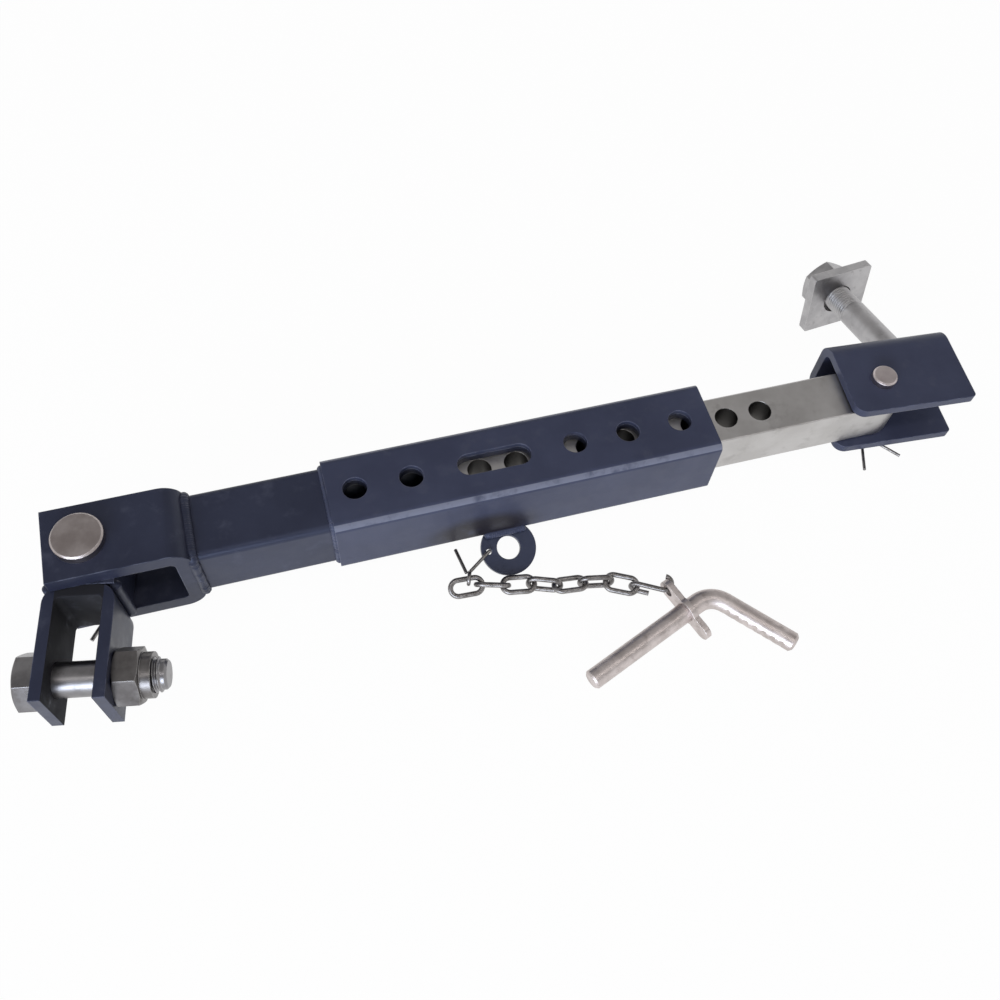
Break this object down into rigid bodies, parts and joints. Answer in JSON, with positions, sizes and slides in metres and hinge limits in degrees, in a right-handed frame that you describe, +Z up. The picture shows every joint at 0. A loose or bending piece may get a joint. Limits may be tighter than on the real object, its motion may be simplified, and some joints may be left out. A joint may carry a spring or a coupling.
{
  "type": "lower link stabilizer",
  "caption": "Telescopic stabiliser arm: a pierced square bar slides in a sleeved tube with a swivel clevis, a clamp bracket and a chained locking pin.",
  "frame": {"origin": "middle of the whole part's outline in plan, on the flat surface it lies on", "axes": "+X along the arm from the clevis to the bracket, +Y to the side of the clamp plate, +Z up along the swivel and bracket pins"},
  "size_m": [0.725, 0.3138, 0.0925],
  "materials": {
    "painted": "satin dark blue-grey paint",
    "plain_steel": "dull plated steel",
    "zinc_plate": "satin zinc plate",
    "yellow_zinc": "bright zinc plate",
    "dark_wire": "dull dark wire",
    "nylon": "matt nylon"
  },
  "bodies": {
    "arm": {"sleeve_tube": "painted", "main_tube": "painted", "sleeve_welds": "painted", "yoke": "painted", "yoke_weld": "painted", "swivel_pin": "plain_steel", "swivel_washer": "plain_steel", "swivel_split_pin": "dark_wire", "chain_ring": "painted", "ring_weld": "painted"},
    "clevis": {"swivel_block": "painted", "clevis_fork": "painted", "clevis_weld": "painted"},
    "clevis_bolt": {"clevis_bolt": "plain_steel"},
    "clevis_nut": {"clevis_nut": "plain_steel", "nut_insert": "nylon"},
    "bar": {"sliding_bar": "zinc_plate"},
    "bracket": {"link_bracket": "painted", "bracket_pin": "plain_steel", "bracket_washer": "plain_steel", "bracket_split_pin": "dark_wire"},
    "clamp_bolt": {"clamp_bolt": "zinc_plate"},
    "clamp_nut": {"clamp_nut": "zinc_plate"},
    "clamp_plate": {"clamp_plate": "zinc_plate"},
    "anchor": {"chain_anchor": "dark_wire"},
    "link_1": {"chain_link_1": "dark_wire"},
    "link_2": {"chain_link_2": "dark_wire"},
    "link_3": {"chain_link_3": "dark_wire"},
    "link_4": {"chain_link_4": "dark_wire"},
    "link_5": {"chain_link_5": "dark_wire"},
    "link_6": {"chain_link_6": "dark_wire"},
    "link_7": {"chain_link_7": "dark_wire"},
    "hook": {"s_hook": "dark_wire"},
    "lock_pin": {"lock_pin": "yellow_zinc", "lock_pin_collar": "yellow_zinc"}
  },
  "joints": [
    {"name": "bar_draw", "type": "slide", "parent": "arm", "child": "bar", "axis": [1, 0, 0], "range_m": [-0.11, 0.125]},
    {"name": "clevis_swivel", "type": "hinge", "parent": "arm", "child": "clevis", "pos_m": [-0.3056, 0.0116, 0.048], "axis": [0, 0, 1], "range_deg": [-180, 30]},
    {"name": "clevis_nut_off", "type": "slide", "parent": "clevis", "child": "clevis_nut", "axis": [0.9826, -0.1857, 0], "range_m": [0, 0.06]},
    {"name": "clevis_bolt_draw", "type": "slide", "parent": "clevis", "child": "clevis_bolt", "axis": [0.9826, -0.1857, 0], "range_m": [-0.1, 0]},
    {"name": "bracket_swing", "type": "hinge", "parent": "bar", "child": "bracket", "pos_m": [0.293, 0.0116, 0.048], "axis": [0, 0, 1], "range_deg": [-90, 25]},
    {"name": "clamp_bolt_tilt", "type": "hinge", "parent": "bracket", "child": "clamp_bolt", "pos_m": [0.3311, 0.04859, 0.048], "axis": [0.9945, 0.1045, 0], "range_deg": [0, 18]},
    {"name": "clamp_nut_run", "type": "slide", "parent": "clamp_bolt", "child": "clamp_nut", "axis": [-0.1022, 0.9728, -0.2079], "range_m": [-0.06, 0.025]},
    {"name": "clamp_plate_run", "type": "slide", "parent": "clamp_bolt", "child": "clamp_plate", "axis": [-0.1022, 0.9728, -0.2079], "range_m": [-0.06, 0.025]},
    {"name": "anchor_turn", "type": "hinge", "parent": "arm", "child": "anchor", "pos_m": [-0.0299, -0.0274, 0.0107], "axis": [0, 0, 1], "range_deg": [-5, 2]},
    {"name": "link_1_turn", "type": "hinge", "parent": "anchor", "child": "link_1", "pos_m": [-0.0496, -0.0446, 0.0098], "axis": [0, 0, 1], "range_deg": [-8, 2]},
    {"name": "link_2_turn", "type": "hinge", "parent": "link_1", "child": "link_2", "pos_m": [-0.04313, -0.05042, 0.0071], "axis": [0, 0, 1], "range_deg": [-8, 2]},
    {"name": "link_3_turn", "type": "hinge", "parent": "link_2", "child": "link_3", "pos_m": [-0.02438, -0.05579, 0.0071], "axis": [0, 0, 1], "range_deg": [-8, 2]},
    {"name": "link_4_turn", "type": "hinge", "parent": "link_3", "child": "link_4", "pos_m": [-0.00515, -0.05901, 0.0071], "axis": [0, 0, 1], "range_deg": [-8, 4]},
    {"name": "link_5_turn", "type": "hinge", "parent": "link_4", "child": "link_5", "pos_m": [0.01317, -0.06568, 0.0071], "axis": [0, 0, 1], "range_deg": [-8, 4]},
    {"name": "link_6_turn", "type": "hinge", "parent": "link_5", "child": "link_6", "pos_m": [0.03257, -0.06772, 0.0071], "axis": [0, 0, 1], "range_deg": [-8, 4]},
    {"name": "link_7_turn", "type": "hinge", "parent": "link_6", "child": "link_7", "pos_m": [0.05171, -0.07144, 0.0071], "axis": [0, 0, 1], "range_deg": [-8, 4]},
    {"name": "hook_turn", "type": "hinge", "parent": "link_7", "child": "hook", "pos_m": [0.06916, -0.08014, 0.0071], "axis": [0, 0, 1], "range_deg": [-10, 6]},
    {"name": "lock_pin_turn", "type": "hinge", "parent": "hook", "child": "lock_pin", "pos_m": [0.0901, -0.0859, 0.013], "axis": [0, 0, 1], "range_deg": [-12, 8]}
  ],
  "couplings": [
    {"joint": "clamp_plate_run", "follows": "clamp_nut_run", "ratio": 1}
  ]
}
